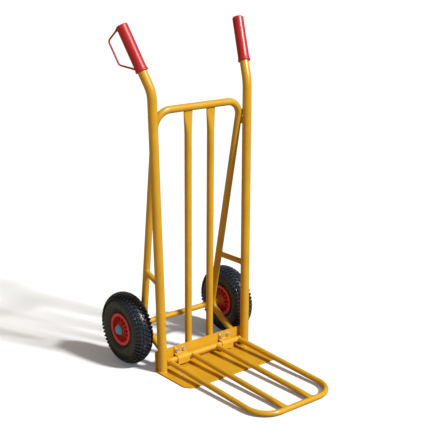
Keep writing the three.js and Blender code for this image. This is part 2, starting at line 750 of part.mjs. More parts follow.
function washer() {
  return ringGeometry(WASHER_OUTER_R, AXLE_R + RUNNING_FIT, WASHER_THICKNESS);
}

for (const [name, side] of SIDES) {
  const wheel = new THREE.Group();
  wheel.position.set(side * WHEEL_X, AXLE_Y, WHEEL_R);
  wheel.rotation.z = (-side * Math.PI) / 2;
  truck.add(wheel);
  addMesh(wheel, `${name}_tyre`, tyre(), tyreRubber);
  addMesh(wheel, `${name}_inner_tube`, innerTube(), tubeRubber);
  addMesh(wheel, `${name}_rim`, rim(), rimPlastic);
  addMesh(wheel, `${name}_valve_stem`, valveStem(), tubeRubber);
  const bearingAt = HUB_HALF_LENGTH - BEARING_WIDTH - 0.2;
  addMesh(wheel, `${name}_outer_bearing`, bearing(), bearingSteel).position.y = bearingAt;
  addMesh(wheel, `${name}_inner_bearing`, bearing(), bearingSteel).position.y = -bearingAt - BEARING_WIDTH;
  const washerAt = HUB_HALF_LENGTH + GAP;
  addMesh(wheel, `${name}_outer_washer`, washer(), zinc).position.y = washerAt;
  addMesh(wheel, `${name}_inner_washer`, washer(), zinc).position.y = -washerAt - WASHER_THICKNESS;
  const capAt = washerAt + WASHER_THICKNESS + GAP;
  addMesh(wheel, `${name}_axle_cap`, axleCap(), bluePlastic).position.y = capAt;

  // The spacer is fixed on the axle, between the leg and the wheel's inner washer.
  const spacerStart = HOOP_AXLE_X + HOOP_R + 1.5;
  const spacerEnd = HUB_INNER_X - 2 * GAP - WASHER_THICKNESS;
  const ring = ringGeometry(SPACER_R, AXLE_R + RUNNING_FIT, spacerEnd - spacerStart);
  const spacer = addMesh(truck, `${name}_axle_spacer`, ring, yellowPaint);
  spacer.position.set(side * spacerStart, AXLE_Y, WHEEL_R);
  spacer.rotation.z = wheel.rotation.z;
}

export default truck;
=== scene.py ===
# Looks of the hand truck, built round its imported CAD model. Metres, +Z up.
# -Y is the load side, +Y the side of the wheels and the operator.
import math

import bmesh
import bpy
from mathutils import Matrix, Vector


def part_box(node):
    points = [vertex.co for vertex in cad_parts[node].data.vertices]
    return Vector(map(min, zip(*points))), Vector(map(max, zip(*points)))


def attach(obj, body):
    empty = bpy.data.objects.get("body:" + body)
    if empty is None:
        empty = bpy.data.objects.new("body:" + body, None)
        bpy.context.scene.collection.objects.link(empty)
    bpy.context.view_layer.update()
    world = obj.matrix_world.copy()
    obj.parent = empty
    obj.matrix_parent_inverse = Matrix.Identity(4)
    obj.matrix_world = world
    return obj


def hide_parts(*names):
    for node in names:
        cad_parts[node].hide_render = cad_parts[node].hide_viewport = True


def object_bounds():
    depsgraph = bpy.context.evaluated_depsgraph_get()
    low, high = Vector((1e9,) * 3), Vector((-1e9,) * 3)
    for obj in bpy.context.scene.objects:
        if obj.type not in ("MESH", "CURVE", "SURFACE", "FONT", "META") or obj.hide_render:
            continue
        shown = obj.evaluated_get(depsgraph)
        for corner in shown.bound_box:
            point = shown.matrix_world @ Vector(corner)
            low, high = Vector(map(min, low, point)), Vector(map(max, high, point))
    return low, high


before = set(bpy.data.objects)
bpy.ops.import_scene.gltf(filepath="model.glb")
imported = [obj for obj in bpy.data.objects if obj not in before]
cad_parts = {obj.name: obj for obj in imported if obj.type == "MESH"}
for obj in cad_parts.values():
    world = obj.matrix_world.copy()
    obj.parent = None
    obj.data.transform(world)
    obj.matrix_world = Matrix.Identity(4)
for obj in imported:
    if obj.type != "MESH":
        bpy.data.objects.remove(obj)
cad_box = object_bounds()
scene = bpy.context.scene

SIDES = (("left", -1), ("right", 1))
MM = 0.001
X_AXIS = Vector((1, 0, 0))
Y_AXIS = Vector((0, 1, 0))
Z_AXIS = Vector((0, 0, 1))


# ---------- measuring the frame ----------
def corners_of(node):
    low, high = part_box(node)
    return Vector(low), Vector(high)


def middle_of(node):
    low, high = corners_of(node)
    return (low + high) / 2


def slice_centre(node, axis, level, keep=None):
    """Middle of a node's cut by the plane where that axis is at level: a tube's axis there."""
    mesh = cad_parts[node].data
    found = []
    for edge in mesh.edges:
        a = mesh.vertices[edge.vertices[0]].co
        b = mesh.vertices[edge.vertices[1]].co
        if (a[axis] - level) * (b[axis] - level) < 0:
            point = a.lerp(b, (level - a[axis]) / (b[axis] - a[axis]))
            if keep is None or keep(point):
                found.append(point)
    low = Vector([min(p[i] for p in found) for i in range(3)])
    high = Vector([max(p[i] for p in found) for i in range(3)])
    return (low + high) / 2


def line_through(a, b, axis, level):
    """The point of the line through a and b where that axis is at level."""
    return a.lerp(b, (level - a[axis]) / (b[axis] - a[axis]))


# ---------- mesh building ----------
def bent_line(corners, radii, step_degrees=5.0, spacing=None):
    """Points along straight runs joined by arcs."""
    points = [corners[0].copy()]
    for i in range(1, len(corners) - 1):
        incoming = (corners[i] - corners[i - 1]).normalized()
        outgoing = (corners[i + 1] - corners[i]).normalized()
        turn = incoming.angle(outgoing)
        radius = radii[i - 1]
        start = corners[i] - incoming * radius * math.tan(turn / 2)
        side = (outgoing - incoming * incoming.dot(outgoing)).normalized()
        centre = start + side * radius
        steps = max(2, round(math.degrees(turn) / step_degrees))
        for k in range(steps + 1):
            angle = turn * k / steps
            points.append(centre - side * radius * math.cos(angle) + incoming * radius * math.sin(angle))
    points.append(corners[-1].copy())
    if spacing:
        points = spread(points, spacing)
    return points


def spread(points, spacing):
    """Adds points so that no step is longer than spacing."""
    out = [points[0]]
    for a, b in zip(points, points[1:]):
        steps = max(1, math.ceil((b - a).length / spacing))
        out += [a.lerp(b, (k + 1) / steps) for k in range(steps)]
    return out


def sweep(points, section, segments=32, closed=False, first_side=None):
    """Verts and faces of a skin along points. section(share, angle) gives two offsets, aside and up."""
    count = len(points)
    tangents = []
    for i in range(count):
        if closed:
            tangents.append((points[(i + 1) % count] - points[i - 1]).normalized())
        else:
            tangents.append((points[min(i + 1, count - 1)] - points[max(i - 1, 0)]).normalized())
    lengths = [0.0]
    for a, b in zip(points, points[1:]):
        lengths.append(lengths[-1] + (b - a).length)
    side = first_side or tangents[0].orthogonal()
    verts = []
    for i in range(count):
        side = (side - tangents[i] * side.dot(tangents[i])).normalized()
        up = tangents[i].cross(side)
        share = lengths[i] / lengths[-1]
        for k in range(segments):
            aside, above = section(share, 2 * math.pi * k / segments)
            verts.append(points[i] + side * aside + up * above)
    faces = []
    rings = count if closed else count - 1
    for i in range(rings):
        for k in range(segments):
            a = i * segments + k
            b = i * segments + (k + 1) % segments
            c = ((i + 1) % count) * segments + (k + 1) % segments
            d = ((i + 1) % count) * segments + k
            faces.append((a, b, c, d))
    if not closed:
        faces.append(tuple(reversed(range(segments))))
        last = (count - 1) * segments
        faces.append(tuple(range(last, last + segments)))
    return verts, faces


def slide_to_y(verts, ring, axis, level):
    """Cuts a tube's end off in the plane y = level, by sliding the end ring along the tube."""
    for i in ring:
        verts[i] = verts[i] + axis * ((level - verts[i].y) / axis.y)


def round_section(radius):
    return lambda share, angle: (radius * math.cos(angle), radius * math.sin(angle))


def revolve(profile, centre, axis, segments=64, start=None):
    """Skin of (radius, distance along axis) points turned about axis. A radius of 0 closes it."""
    axis = axis.normalized()
    side = start or axis.orthogonal().normalized()
    up = axis.cross(side)
    verts = []
    rows = []
    for radius, along in profile:
        if radius < 1e-7:
            rows.append([len(verts)] * segments)
            verts.append(centre + axis * along)
            continue
        rows.append([len(verts) + k for k in range(segments)])
        for k in range(segments):
            angle = 2 * math.pi * k / segments
            spoke = side * math.cos(angle) + up * math.sin(angle)
            verts.append(centre + spoke * radius + axis * along)
    faces = []
    for low, high in zip(rows, rows[1:]):
        for k in range(segments):
            n = (k + 1) % segments
            face = list(dict.fromkeys((low[k], low[n], high[n], high[k])))
            if len(face) > 2:
                faces.append(tuple(face))
    return verts, faces


def mirrored(profile):
    return [(radius, -along) for radius, along in reversed(profile)]


def arc(centre_r, centre_a, radius, start, end, steps):
    """Points of an arc in a (radius, along) profile. Degrees, from the outward direction towards +along."""
    out = []
    for k in range(steps + 1):
        angle = math.radians(start + (end - start) * k / steps)
        out.append((centre_r + radius * math.cos(angle), centre_a + radius * math.sin(angle)))
    return out


def piece(name, skins, material, body, nodes=(), bevel=0.0, smooth=40.0):
    """One object from one or more (verts, faces) skins, riding on a CAD body."""
    verts = []
    faces = []
    for skin_verts, skin_faces in skins:
        base = len(verts)
        verts += [tuple(v) for v in skin_verts]
        faces += [tuple(i + base for i in face) for face in skin_faces]
    mesh = bpy.data.meshes.new(name)
    mesh.from_pydata(verts, [], faces)
    work = bmesh.new()
    work.from_mesh(mesh)
    bmesh.ops.recalc_face_normals(work, faces=work.faces)
    work.to_mesh(mesh)
    work.free()
    mesh.materials.append(material)
    obj = bpy.data.objects.new(name, mesh)
    scene.collection.objects.link(obj)
    for polygon in mesh.polygons:
        polygon.use_smooth = True
    if bevel:
        rounding = obj.modifiers.new("rounding", "BEVEL")
        rounding.width = bevel
        rounding.segments = 2
        rounding.limit_method = "ANGLE"
        rounding.angle_limit = math.radians(35)
    mesh.set_sharp_from_angle(angle=math.radians(smooth))
    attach(obj, body)
    if nodes:
        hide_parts(*nodes)
    return obj


# ---------- materials ----------
def new_material(name):
    material = bpy.data.materials.new(name)
    material.use_nodes = True
    tree = material.node_tree
    return material, tree, tree.nodes["Principled BSDF"]


def noise(tree, scale, detail=3.0, roughness=0.55):
    coords = tree.nodes.new("ShaderNodeTexCoord")
    node = tree.nodes.new("ShaderNodeTexNoise")
    node.inputs["Scale"].default_value = scale
    node.inputs["Detail"].default_value = detail
    node.inputs["Roughness"].default_value = roughness
    tree.links.new(coords.outputs["Object"], node.inputs["Vector"])
    return node


def ramp(tree, source, stops):
    """Colour ramp over a value: stops are (position, colour)."""
    node = tree.nodes.new("ShaderNodeValToRGB")
    elements = node.color_ramp.elements
    while len(elements) < len(stops):
        elements.new(0.5)
    for element, (position, colour) in zip(elements, stops):
        element.position = position
        element.color = (*colour, 1.0)
    tree.links.new(source, node.inputs["Fac"])
    return node


def spread_value(tree, source, low, high):
    node = tree.nodes.new("ShaderNodeMapRange")
    node.inputs["From Min"].default_value = 0.3
    node.inputs["From Max"].default_value = 0.7
    node.inputs["To Min"].default_value = low
    node.inputs["To Max"].default_value = high
    tree.links.new(source, node.inputs["Value"])
    return node


def add_bump(tree, shader, source, strength, distance):
    node = tree.nodes.new("ShaderNodeBump")
    node.inputs["Strength"].default_value = strength
    node.inputs["Distance"].default_value = distance
    tree.links.new(source, node.inputs["Height"])
    tree.links.new(node.outputs["Normal"], shader.inputs["Normal"])
    return node


def surface(name, stops, cloud, gloss, rough, grain, bump):
    """A material with a mottled colour, an uneven gloss and a fine bump.

    cloud and gloss are noise settings, rough is (low, high), bump is (strength, distance)."""
    material, tree, shader = new_material(name)
    colour = ramp(tree, noise(tree, *cloud).outputs["Fac"], stops)
    tree.links.new(colour.outputs["Color"], shader.inputs["Base Color"])
    uneven = spread_value(tree, noise(tree, *gloss).outputs["Fac"], *rough)
    tree.links.new(uneven.outputs["Result"], shader.inputs["Roughness"])
    add_bump(tree, shader, noise(tree, grain, 2.0).outputs["Fac"], *bump)
    return material, shader


def painted_steel():
    """Powder-coated tube: warm yellow, slightly mottled, with a fine orange peel."""
    stops = [
        (0.30, (0.595, 0.318, 0.013)),
        (0.55, (0.638, 0.350, 0.016)),
        (0.75, (0.680, 0.382, 0.021)),
    ]
    material, shader = surface(
        "yellow_paint", stops, (14.0, 4.0), (60.0, 2.0), (0.32, 0.42), 900.0, (0.03, 0.0002))
    shader.inputs["Coat Weight"].default_value = 0.35
    shader.inputs["Coat Roughness"].default_value = 0.10
    return material


def moulded_plastic(name, dark, light, rough_low, rough_high, coat=0.0):
    stops = [(0.3, dark), (0.7, light)]
    material, shader = surface(
        name, stops, (25.0, 3.0), (90.0,), (rough_low, rough_high), 700.0, (0.02, 0.0002))
    shader.inputs["Coat Weight"].default_value = coat
    shader.inputs["Coat Roughness"].default_value = 0.1
    return material


def rubber(name, dark, light, rough_low, rough_high):
    """Moulded rubber: nearly black, with a dusty bloom and a fine grain."""
    stops = [(0.35, dark), (0.7, light)]
    return surface(
        name, stops, (18.0, 5.0, 0.65), (70.0,), (rough_low, rough_high), 1200.0, (0.12, 0.0004))[0]


def plated_steel(name, dark, light, rough_low, rough_high):
    stops = [(0.3, dark), (0.7, light)]
    material, shader = surface(
        name, stops, (120.0, 3.0), (300.0,), (rough_low, rough_high), 1500.0, (0.06, 0.0003))
    shader.inputs["Metallic"].default_value = 0.9
    return material


YELLOW = painted_steel()
GRIP_RED = moulded_plastic("grip_plastic", (0.42, 0.013, 0.017), (0.50, 0.019, 0.024), 0.38, 0.46,
                           coat=0.10)
RIM_RED = moulded_plastic("rim_plastic", (0.70, 0.052, 0.066), (0.80, 0.074, 0.090), 0.30, 0.42)
CAP_BLUE = moulded_plastic("cap_plastic", (0.11, 0.46, 0.80), (0.16, 0.55, 0.90), 0.40, 0.52)
TYRE = rubber("tyre_rubber", (0.016, 0.024, 0.040), (0.034, 0.047, 0.070), 0.26, 0.38)
TUBE_RUBBER = rubber("tube_rubber", (0.012, 0.012, 0.013), (0.022, 0.022, 0.024), 0.5, 0.65)
ZINC = plated_steel("zinc_plate", (0.62, 0.63, 0.64), (0.78, 0.79, 0.80), 0.24, 0.38)
STEEL = plated_steel("bearing_steel", (0.45, 0.46, 0.48), (0.60, 0.61, 0.63), 0.25, 0.40)


# ---------- tube axes, read from the frame ----------
WALL = 2 * MM
UPRIGHT_R = 16 * MM
UPRIGHT_BEND_R = 110 * MM
HOOP_R = 12.5 * MM
HOOP_TOP_BEND_R = 57 * MM
HOOP_FOOT_BEND_R = 42 * MM
STRUT_R = 10 * MM
NOSE_R = 9.5 * MM
NOSE_CORNER_R = 75 * MM

axle_middle = middle_of("axle")
AXLE_R = (corners_of("axle")[1].z - corners_of("axle")[0].z) / 2
plate_low, plate_high = corners_of("toe_plate")
hoop_high = corners_of("rear_hoop")[1]
SHEET = 4 * MM
PLATE_FACE_Y = plate_high.y - SHEET
BLADE_TOP = plate_low.z + SHEET


class Line:
    """A straight tube axis through two points, with the tube's outer radius."""

    def __init__(self, a, b, radius):
        self.a = a
        self.b = b
        self.radius = radius

    @property
    def along(self):
        return (self.b - self.a).normalized()

    def at_z(self, z):
        return line_through(self.a, self.b, 2, z)


def upright_lines(name):
    node = f"{name}_upright"
    lower = Line(slice_centre(node, 2, 0.20), slice_centre(node, 2, 0.85), UPRIGHT_R)
    upper = Line(slice_centre(node, 2, 1.05), slice_centre(node, 2, 1.15), UPRIGHT_R)
    return lower, upper


def bend_point(one, other):
    """The point nearest to both lines."""
    across = one.along.cross(other.along)
    system = Matrix((one.along, -other.along, across)).transposed()
    reach = system.inverted() @ (other.a - one.a)
    return one.a + one.along * reach[0]


UPRIGHTS = {name: upright_lines(name) for name, _ in SIDES}


def leg_line(side):
    keep = lambda p: p.x * side > 0
    return Line(
        slice_centre("rear_hoop", 2, 0.30, keep),
        slice_centre("rear_hoop", 2, 0.75, keep),
        HOOP_R,
    )


LEGS = {name: leg_line(side) for name, side in SIDES}


# ---------- weld beads ----------
FILLET_R = 2.6 * MM
SMALL_BEAD_R = 1.9 * MM
RIPPLE = 0.16                    # how much a bead's size swings along its length
SEAM_STEP = 2.2 * MM
LONG_STEP = 30 * MM              # longest step along a straight tube


def weld_bead(points, radius, seed):
    """A closed rippled bead along points."""
    ripple = lambda share: 1 + RIPPLE * math.sin(share * len(points) * 0.9 + seed)
    section = lambda share, angle: (
        radius * ripple(share) * math.cos(angle),
        radius * ripple(share) * math.sin(angle),
    )
    return sweep(points, section, 10, closed=True)


def rippled(radius, seed):
    """Section of an open bead, rippled along its length and thinner at both ends."""
    def section(share, angle):
        size = radius * (1 + RIPPLE * math.sin(share * 95 + seed))
        size *= min(1.0, 0.35 + 12 * min(share, 1 - share))
        return size * math.cos(angle), size * math.sin(angle)
    return section


def saddle(tube, target, towards, count=48):
    """The closed curve where a tube's skin meets the target's, at the end nearer the point towards."""
    axis = tube.along
    side = axis.orthogonal().normalized()
    up = axis.cross(side)
    curve = []
    for k in range(count):
        angle = 2 * math.pi * k / count
        start = tube.a + (side * math.cos(angle) + up * math.sin(angle)) * tube.radius
        gap = start - target.a
        flat_gap = gap - target.along * gap.dot(target.along)
        flat_axis = axis - target.along * axis.dot(target.along)
        a = flat_axis.dot(flat_axis)
        b = 2 * flat_gap.dot(flat_axis)
        c = flat_gap.dot(flat_gap) - target.radius ** 2
        root = math.sqrt(max(b * b - 4 * a * c, 0.0))
        hits = [start + axis * ((-b + sign * root) / (2 * a)) for sign in (-1, 1)]
        curve.append(min(hits, key=lambda p: (p - towards).length))
    return curve


# ---------- uprights ----------
def make_upright(name, side):
    lower, upper = UPRIGHTS[name]
    bend = bend_point(lower, upper)
    foot = lower.at_z(BLADE_TOP)
    top = line_through(upper.a, upper.b, 2, corners_of(f"{name}_upright")[1].z - 12 * MM)
    points = bent_line([foot, bend, top], [UPRIGHT_BEND_R], 3.0, LONG_STEP)
    tube = sweep(points, round_section(UPRIGHT_R), 48)
    piece(f"{name}_upright_tube", [tube], YELLOW, "frame", [f"{name}_upright"])
    ring = []
    for k in range(40):
        angle = 2 * math.pi * k / 40
        out = Vector((math.cos(angle), math.sin(angle), 0)) * (UPRIGHT_R + 0.8 * MM)
        point = foot + out + Z_AXIS * 0.8 * MM
        point.y = min(point.y, PLATE_FACE_Y - 0.5 * MM)
        ring.append(point)
    seam_low = Vector((foot.x, PLATE_FACE_Y, BLADE_TOP + 4 * MM))
    seams = []
    for offset in (-9, 9):
        a = seam_low + X_AXIS * offset * MM + Y_AXIS * -1.0 * MM
        b = a + Z_AXIS * (plate_high.z - BLADE_TOP - 7 * MM)
        seams.append(sweep(spread([a, b], SEAM_STEP), rippled(FILLET_R, 2.0), 10))
    skins = [weld_bead(ring, 2.4 * MM, 0.4 + side)] + seams
    piece(f"{name}_upright_weld", skins, YELLOW, "frame")


# ---------- rear hoop ----------
BRACE_TOP_Z = 300 * MM           # everything of the hoop below this is brace or leg foot
BRACES = {}


def make_rear_hoop():
    """One tube: brace, leg, top bar, leg and brace. It also fills in BRACES."""
    top_z = hoop_high.z - HOOP_R
    corners = []
    for name, side in SIDES:
        leg = LEGS[name]
        keep = lambda p: p.x * side > 0 and p.z < BRACE_TOP_Z
        low_brace = slice_centre("rear_hoop", 1, plate_high.y + 25 * MM, keep)
        high_brace = slice_centre("rear_hoop", 1, plate_high.y + 75 * MM, keep)
        brace = Line(low_brace, high_brace, HOOP_R)
        run = [
            line_through(brace.a, brace.b, 1, plate_high.y + 9 * MM),
            bend_point(brace, leg),
            leg.at_z(top_z),
        ]
        corners += run if side < 0 else run[::-1]
        BRACES[name] = brace
    radii = [HOOP_FOOT_BEND_R, HOOP_TOP_BEND_R, HOOP_TOP_BEND_R, HOOP_FOOT_BEND_R]
    segments = 40
    tube = sweep(bent_line(corners, radii, 4.0, 0.04), round_section(HOOP_R), segments)
    last = len(tube[0]) - segments
    slide_to_y(tube[0], range(segments), BRACES["left"].along, plate_high.y - 0.5 * MM)
    slide_to_y(tube[0], range(last, last + segments), BRACES["right"].along, plate_high.y - 0.5 * MM)
    piece("rear_hoop_tube", [tube], YELLOW, "frame", ["rear_hoop"])
    beads = []
    for name, side in SIDES:
        beads += upright_seam(name, side)
        beads.append(brace_bead(name))
    piece("rear_hoop_welds", beads, YELLOW, "frame")


def upright_seam(name, side):
    """Short fillet welds on both sides of the touch line between a leg and its upright."""
    leg = LEGS[name]
    lower = UPRIGHTS[name][0]
    touch_z = hoop_high.z - HOOP_R - HOOP_TOP_BEND_R
    seams = []
    for low, high in ((touch_z - 26 * MM, touch_z - 2 * MM), (touch_z + 4 * MM, touch_z + 26 * MM)):
        points = []
        for k in range(14):
            z = low + (high - low) * k / 13
            leg_point = leg.at_z(min(z, touch_z))
            up_point = lower.at_z(z)
            points.append(leg_point.lerp(up_point, HOOP_R / (HOOP_R + UPRIGHT_R)))
            points[-1].z = z
        seams.append(sweep(points, rippled(4.2 * MM, side), 12))
    return seams


def brace_bead(name):
    brace = BRACES[name]
    centre = line_through(brace.a, brace.b, 1, plate_high.y)
    axis = brace.along
    ring = []
    for k in range(36):
        angle = 2 * math.pi * k / 36
        aside = X_AXIS * HOOP_R * math.cos(angle)
        up = axis.cross(X_AXIS).normalized() * HOOP_R * math.sin(angle)
        start = centre + aside + up
        ring.append(start + axis * ((plate_high.y + 0.5 * MM - start.y) / axis.y))
    return weld_bead(ring, 2.2 * MM, 1.3)


# ---------- centre bars ----------
BAR_FLAT_WIDE = 1.46             # width of the pressed end over the tube's diameter
BAR_FLAT_THIN = 0.30
BAR_FLAT_SHARE = 0.10            # share of the bar's length over which it flattens


def flattening(radius, wide, thin, taper):
    """Round section that is pressed flat over the last taper of its length."""
    def section(share, angle):
        t = max(0.0, (share - (1 - taper)) / taper)
        t = t * t * (3 - 2 * t)
        a = radius * (1 + (wide - 1) * t)
        b = radius * (1 + (thin - 1) * t)
        square = 1 - 0.35 * t
        c, s = math.cos(angle), math.sin(angle)
        return a * math.copysign(abs(c) ** square, c), b * math.copysign(abs(s) ** square, s)
    return section


def make_centre_bar(name):
    node = f"{name}_centre_bar"
    a = slice_centre(node, 2, 0.20)
    b = slice_centre(node, 2, 0.70)
    foot = line_through(a, b, 2, corners_of(node)[0].z)
    top = line_through(a, b, 2, corners_of(node)[1].z + 1.0 * MM)
    points = spread([foot, top], 0.012)
    section = flattening(HOOP_R, BAR_FLAT_WIDE, BAR_FLAT_THIN, BAR_FLAT_SHARE)
    bar = sweep(points, section, 40, first_side=X_AXIS)
    piece(f"{name}_centre_tube", [bar], YELLOW, "frame", [node])
    beads = []
    for way in (-1, 1):
        start = top + Vector((-16 * MM, way * 3.4 * MM, -0.4 * MM))
        run = spread([start, start + X_AXIS * 32 * MM], 2.0 * MM)
        beads.append(sweep(run, rippled(1.4 * MM, way), 10))
        seam = Vector((foot.x + way * 8 * MM, plate_high.y + 0.8 * MM, plate_low.z + 14 * MM))
        rise = spread([seam, seam + Z_AXIS * 54 * MM], SEAM_STEP)
        beads.append(sweep(rise, rippled(FILLET_R, way), 10))
    piece(f"{name}_centre_weld", beads, YELLOW, "frame")


# ---------- struts ----------
def make_strut(name, side):
    node = f"{name}_strut"
    low, high = corners_of(node)
    near = slice_centre(node, 1, low.y + 0.35 * (high.y - low.y))
    far = slice_centre(node, 1, low.y + 0.65 * (high.y - low.y))
    axis = Line(near, far, STRUT_R)
    front = line_through(near, far, 1, low.y - 8 * MM)
    back = line_through(near, far, 1, high.y + 4 * MM)
    tube = sweep([front, back], round_section(STRUT_R), 36)
    piece(f"{name}_strut_tube", [tube], YELLOW, "frame", [node])
    skins = []
    for target in (UPRIGHTS[name][0], LEGS[name]):
        curve = saddle(axis, target, (near + far) / 2)
        skins.append(weld_bead(curve, SMALL_BEAD_R, side))
    piece(f"{name}_strut_weld", skins, YELLOW, "frame")


# ---------- toe plate ----------
BLADE_CORNER_R = 36 * MM
BEND_OUTER_R = 7 * MM
UPSTAND_CORNER_R = 5 * MM


def make_toe_plate():
    """The sheet is drawn flat as rows across its width, then wrapped round the bend."""
    half = (plate_high.x - plate_low.x) / 2
    mean_r = BEND_OUTER_R - SHEET / 2
    blade_run = (plate_high.y - BEND_OUTER_R) - plate_low.y
    bend_run = mean_r * math.pi / 2
    rise_run = plate_high.z - BEND_OUTER_R
    total = blade_run + bend_run + rise_run
    rows = []
    corner_steps = 18
    for k in range(corner_steps + 1):
        turn = math.pi / 2 * k / corner_steps
        rows.append((BLADE_CORNER_R * (1 - math.cos(turn)), BLADE_CORNER_R * (1 - math.sin(turn))))
    rows += [(blade_run * 0.6, 0.0)]
    bend_steps = 10
    rows += [(blade_run + bend_run * k / bend_steps, 0.0) for k in range(bend_steps + 1)]
    top_steps = 8
    for k in range(top_steps + 1):
        turn = math.pi / 2 * k / top_steps
        run = total - UPSTAND_CORNER_R * (1 - math.sin(turn))
        rows.append((run, UPSTAND_CORNER_R * (1 - math.cos(turn))))

    def wrap(run, depth):
        if run < blade_run:
            return plate_low.y + run, SHEET / 2 + depth
        if run < blade_run + bend_run:
            turn = (run - blade_run) / mean_r
            radius = mean_r - depth
            y = plate_high.y - BEND_OUTER_R + radius * math.sin(turn)
            return y, BEND_OUTER_R - radius * math.cos(turn)
        height = BEND_OUTER_R + (run - blade_run - bend_run)
        return plate_high.y - SHEET / 2 - depth, height

    columns = 12
    verts = []
    for depth in (-SHEET / 2, SHEET / 2):
        for run, inset in rows:
            y, z = wrap(run, depth)
            for c in range(columns + 1):
                x = (half - inset) * (2 * c / columns - 1)
                verts.append(Vector((x, y, z + plate_low.z)))
    faces = []
    width = columns + 1
    top = len(rows) * width
    for r in range(len(rows) - 1):
        for c in range(columns):
            a = r * width + c
            faces.append((a, a + width, a + width + 1, a + 1))
            faces.append((top + a, top + a + 1, top + a + width + 1, top + a + width))
        for c in (0, columns):
            a = r * width + c
            faces.append((a, top + a, top + a + width, a + width))
    for r in (0, len(rows) - 1):
        for c in range(columns):
            a = r * width + c
            faces.append((a, a + 1, top + a + 1, top + a))
    piece("toe_plate_sheet", [(verts, faces)], YELLOW, "frame", ["toe_plate"],
          bevel=0.7 * MM, smooth=35)


# ---------- grips ----------
GRIP_R = 19.7 * MM
GRIP_FLANGE_R = 21.8 * MM
GUARD_R = 3.0 * MM
GUARD_BEND_R = 14 * MM
GUARD_TOP_DROP = 28 * MM         # from the grip's top down to the guard's upper bend
GUARD_LOW_DROP = 113 * MM


def make_grip(name):
    upper = UPRIGHTS[name][1]
    up = upper.along
    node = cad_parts[f"{name}_grip"].data
    reaches = [(v.co - upper.a).dot(up) for v in node.vertices]
    low, high = min(reaches), max(reaches)
    base = upper.a + up * low
    length = high - low
    aside = lambda point: (point - base) - up * (point - base).dot(up)
    far = max(node.vertices, key=lambda v: aside(v.co).length).co
    reach = aside(far).normalized()
    guard_reach = aside(far).length - GUARD_R
    profile = [(UPRIGHT_R + 0.3 * MM, 0.0), (GRIP_FLANGE_R - 1.2 * MM, 0.0)]
    profile += arc(GRIP_FLANGE_R - 1.2 * MM, 1.2 * MM, 1.2 * MM, -90, 0, 5)
    profile += [(GRIP_FLANGE_R, 3.0 * MM), (GRIP_FLANGE_R - 0.4 * MM, 4.5 * MM)]
    profile += [(GRIP_R + 0.8 * MM, 8.0 * MM), (GRIP_R + 0.2 * MM, 13 * MM), (GRIP_R, 18 * MM)]
    profile += [(GRIP_R, length * 0.5), (GRIP_R, length - 7 * MM)]
    profile += arc(GRIP_R - 5 * MM, length - 5.6 * MM, 5 * MM, 0, 80, 8)
    profile += [(GRIP_R * 0.45, length - 0.15 * MM), (0.0, length)]
    skins = [revolve(profile, base, up, 64)]
    corners = [
        base + reach * (GRIP_R - 5 * MM) + up * (length - 6 * MM),
        base + reach * guard_reach + up * (length - GUARD_TOP_DROP),
        base + reach * guard_reach + up * (length - GUARD_LOW_DROP),
        base + reach * (GRIP_R - 4 * MM) + up * 13 * MM,
    ]
    points = bent_line(corners, [GUARD_BEND_R, GUARD_BEND_R], 6.0, 4 * MM)

    def guard_section(share, angle):
        """Round, and thicker where it runs into the grip."""
        end = min(share, 1 - share)
        root = max(0.0, 1 - end / 0.10) ** 2
        grow_end = 1.3 if share < 0.5 else 0.5
        a = GUARD_R * (1 + grow_end * root)
        b = GUARD_R * (1 + 0.9 * grow_end * root)
        return a * math.cos(angle), b * math.sin(angle)

    skins.append(sweep(points, guard_section, 24, first_side=up))
    piece(f"{name}_grip_sleeve", skins, GRIP_RED, "frame", [f"{name}_grip"])


# ---------- hinge clips, bolts and nuts ----------
CLIP_SHEET = 3 * MM
WRAP_GAP = 0.6 * MM              # between the hinge tube and the strap round it
hinge_middle = middle_of("hinge_tube")
HINGE_R = (corners_of("hinge_tube")[1].z - corners_of("hinge_tube")[0].z) / 2


def clip_line(low, high):
    """Middle line of the strap in (y, z), from its top down and out over the blade."""
    flat_y = high.y - CLIP_SHEET / 2
    wrap_r = HINGE_R + WRAP_GAP + CLIP_SHEET / 2
    corners = [Vector((0, flat_y, high.z)), Vector((0, flat_y, hinge_middle.z + wrap_r + 2 * MM))]
    for degrees in range(78, 183, 8):
        angle = math.radians(degrees)
        spot = Vector((0, wrap_r * math.cos(angle), wrap_r * math.sin(angle)))
        corners.append(Vector((0, hinge_middle.y, hinge_middle.z)) + spot)
    corners.append(Vector((0, hinge_middle.y - wrap_r + 0.5 * MM, low.z)))
    return smoothed(spread(corners, 2.5 * MM), 3)


def smoothed(points, rounds):
    for _ in range(rounds):
        inner = [(a + b * 2 + c) / 4 for a, b, c in zip(points, points[1:], points[2:])]
        points = [points[0]] + inner + [points[-1]]
    return points


def make_clip(name):
    node = f"{name}_hinge_clip"
    low, high = corners_of(node)
    line = clip_line(low, high)
    verts = []
    for x in (low.x, high.x):
        for sign in (-1, 1):
            for i, here in enumerate(line):
                ahead = line[min(i + 1, len(line) - 1)] - line[max(i - 1, 0)]
                normal = ahead.cross(X_AXIS).normalized()
                verts.append(Vector((x, here.y, here.z)) + normal * sign * CLIP_SHEET / 2)
    n = len(line)
    faces = []
    for i in range(n - 1):
        faces.append((i, i + 1, n + i + 1, n + i))
        faces.append((2 * n + i, 3 * n + i, 3 * n + i + 1, 2 * n + i + 1))
        faces.append((i, 2 * n + i, 2 * n + i + 1, i + 1))
        faces.append((n + i, n + i + 1, 3 * n + i + 1, 3 * n + i))
    for i in (0, n - 1):
        faces.append((i, n + i, 3 * n + i, 2 * n + i))
    piece(f"{name}_hinge_strap", [(verts, faces)], YELLOW, "frame", [node],
          bevel=0.6 * MM, smooth=35)


